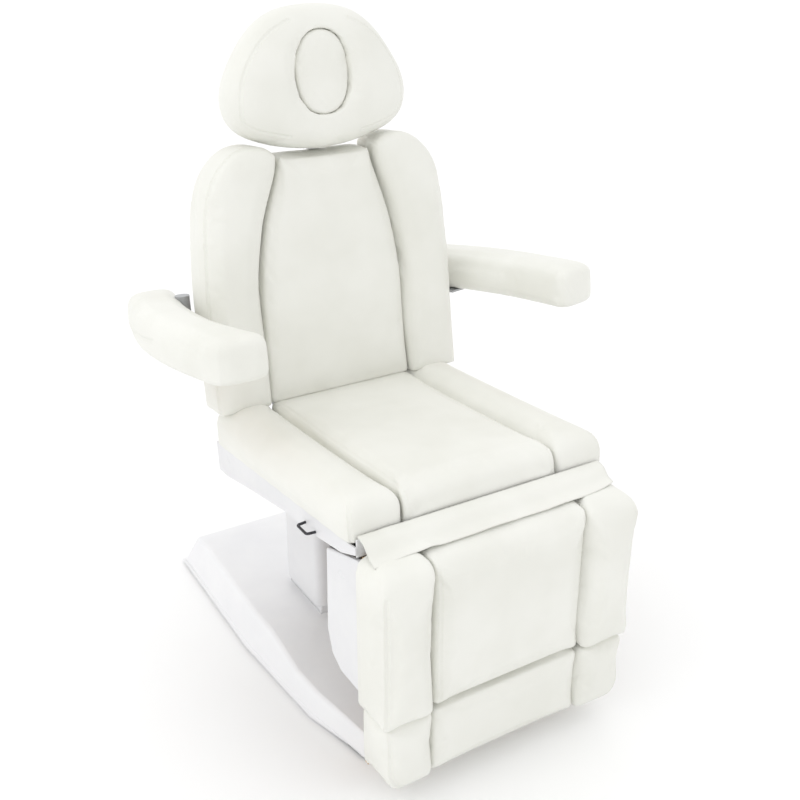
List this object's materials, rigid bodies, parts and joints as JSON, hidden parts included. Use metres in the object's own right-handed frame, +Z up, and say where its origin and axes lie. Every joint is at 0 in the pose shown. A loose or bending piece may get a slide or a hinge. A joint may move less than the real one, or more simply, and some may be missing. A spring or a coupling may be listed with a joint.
{
  "type": "facial treatment bed",
  "caption": "Electric facial and spa treatment bed in chair position: padded seat, reclining back, headrest with face hole, swing-out armrests, leg rest and a lift column on a low base.",
  "frame": {"origin": "on the floor, in the bed's middle plane, level with the middle of its length", "axes": "+Z up, -Y towards the front where the client's feet hang, X across the bed"},
  "size_m": [1.0112, 1.128, 1.4998],
  "materials": {
    "upholstery": "satin",
    "cover_plastic": "satin",
    "frame_paint": "satin",
    "bright_steel": "satin",
    "plywood": "matte",
    "motor_plastic": "matte",
    "guide_plastic": "matte",
    "foot_rubber": "matte",
    "inlet_plastic": "matte",
    "dark_chrome": "polished"
  },
  "bodies": {
    "base": {"base_frame": "frame_paint", "leveling_feet": "foot_rubber", "base_cover": "cover_plastic", "mains_inlet": "inlet_plastic", "column_outer": "frame_paint", "guide_pads": "guide_plastic", "column_lower_cover": "cover_plastic", "lift_motor": "motor_plastic"},
    "lift": {"column_inner": "frame_paint", "lift_rod": "bright_steel", "lift_head": "frame_paint", "tilt_pin": "bright_steel", "column_upper_cover": "cover_plastic", "tilt_motor_pin": "bright_steel"},
    "seat": {"seat_frame": "frame_paint", "seat_board": "plywood", "seat_cushion": "upholstery", "seat_tray": "cover_plastic", "handset_hook": "dark_chrome", "control_box": "motor_plastic", "back_hinge_pin": "bright_steel", "leg_hinge_pins": "bright_steel", "front_flap": "upholstery", "motor_pins": "bright_steel"},
    "back": {"back_cushion": "upholstery", "back_board": "plywood", "back_frame": "frame_paint", "back_shell": "cover_plastic"},
    "head_slider": {"head_post": "bright_steel"},
    "head": {"head_cushion": "upholstery", "head_board": "plywood", "head_bracket": "frame_paint", "head_pin": "bright_steel"},
    "plug": {"face_plug": "upholstery"},
    "arm_left": {"arm_pad_left": "upholstery", "arm_board_left": "plywood", "arm_socket_left": "frame_paint"},
    "arm_right": {"arm_pad_right": "upholstery", "arm_board_right": "plywood", "arm_socket_right": "frame_paint"},
    "leg": {"leg_cushion": "upholstery", "leg_board": "plywood", "leg_frame": "frame_paint", "leg_shell": "cover_plastic"},
    "foot": {"foot_cushion": "upholstery", "foot_board": "plywood", "foot_rails": "bright_steel"},
    "tilt_actuator": {"tilt_motor": "motor_plastic"},
    "tilt_actuator_rod": {"tilt_rod": "bright_steel"},
    "back_actuator": {"back_motor": "motor_plastic"},
    "back_actuator_rod": {"back_rod": "bright_steel"},
    "leg_actuator": {"leg_motor": "motor_plastic"},
    "leg_actuator_rod": {"leg_rod": "bright_steel"}
  },
  "joints": [
    {"name": "lift", "type": "slide", "parent": "base", "child": "lift", "axis": [0, 0, 1], "range_m": [0, 0.23]},
    {"name": "seat_tilt", "type": "hinge", "parent": "lift", "child": "seat", "pos_m": [0, 0.15, 0.468], "axis": [-1, 0, 0], "range_deg": [-3.5, 10]},
    {"name": "back_recline", "type": "hinge", "parent": "seat", "child": "back", "pos_m": [0, 0.218, 0.553], "axis": [-1, 0, 0], "range_deg": [0, 82]},
    {"name": "leg_lift", "type": "hinge", "parent": "seat", "child": "leg", "pos_m": [0, -0.442, 0.583], "axis": [-1, 0, 0], "range_deg": [0, 85], "deforming": ["front_flap"]},
    {"name": "foot_slide", "type": "slide", "parent": "leg", "child": "foot", "axis": [0, 0, -1], "range_m": [0, 0.15]},
    {"name": "head_slide", "type": "slide", "parent": "back", "child": "head_slider", "axis": [0, 0.1063, 0.9943], "range_m": [0, 0.07]},
    {"name": "head_tilt", "type": "hinge", "parent": "head_slider", "child": "head", "pos_m": [0, 0.29066, 1.22332], "axis": [-1, 0, 0], "range_deg": [0, 40]},
    {"name": "plug_pull", "type": "slide", "parent": "head", "child": "plug", "axis": [0, -0.9943, 0.1063], "range_m": [0, 0.09]},
    {"name": "arm_left_swing", "type": "hinge", "parent": "back", "child": "arm_left", "pos_m": [-0.332, 0.30719, 0.75692], "axis": [0, -0.1063, -0.9943], "range_deg": [0, 60]},
    {"name": "arm_right_swing", "type": "hinge", "parent": "back", "child": "arm_right", "pos_m": [0.332, 0.30719, 0.75692], "axis": [0, 0.1063, 0.9943], "range_deg": [-15, 45]},
    {"name": "tilt_actuator_pivot", "type": "hinge", "parent": "lift", "child": "tilt_actuator", "pos_m": [0, -0.005, 0.33], "axis": [-1, 0, 0], "range_deg": [-3.1, 8.76]},
    {"name": "tilt_actuator_stroke", "type": "slide", "parent": "tilt_actuator", "child": "tilt_actuator_rod", "axis": [0, -0.5924, 0.8057], "range_m": [-0.01272, 0.03598]},
    {"name": "back_actuator_pivot", "type": "hinge", "parent": "seat", "child": "back_actuator", "pos_m": [0.145, -0.25, 0.49], "axis": [-1, 0, 0], "range_deg": [0, 1.09]},
    {"name": "back_actuator_stroke", "type": "slide", "parent": "back_actuator", "child": "back_actuator_rod", "axis": [0, 0.9999, 0.0141], "range_m": [-0.10482, 0]},
    {"name": "leg_actuator_pivot", "type": "hinge", "parent": "seat", "child": "leg_actuator", "pos_m": [-0.145, 0.06, 0.49], "axis": [-1, 0, 0], "range_deg": [0, 1.44]},
    {"name": "leg_actuator_stroke", "type": "slide", "parent": "leg_actuator", "child": "leg_actuator_rod", "axis": [0, -0.9992, 0.0398], "range_m": [0, 0.1214]}
  ],
  "couplings": [
    {"joint": "tilt_actuator_pivot", "follows": "seat_tilt", "ratio": 0.8711},
    {"joint": "tilt_actuator_stroke", "follows": "seat_tilt", "m_per_rad": 0.205},
    {"joint": "back_actuator_pivot", "follows": "back_recline", "ratio": 0.0127},
    {"joint": "back_actuator_stroke", "follows": "back_recline", "m_per_rad": -0.0731},
    {"joint": "leg_actuator_pivot", "follows": "leg_lift", "ratio": 0.0163},
    {"joint": "leg_actuator_stroke", "follows": "leg_lift", "m_per_rad": 0.0817}
  ]
}
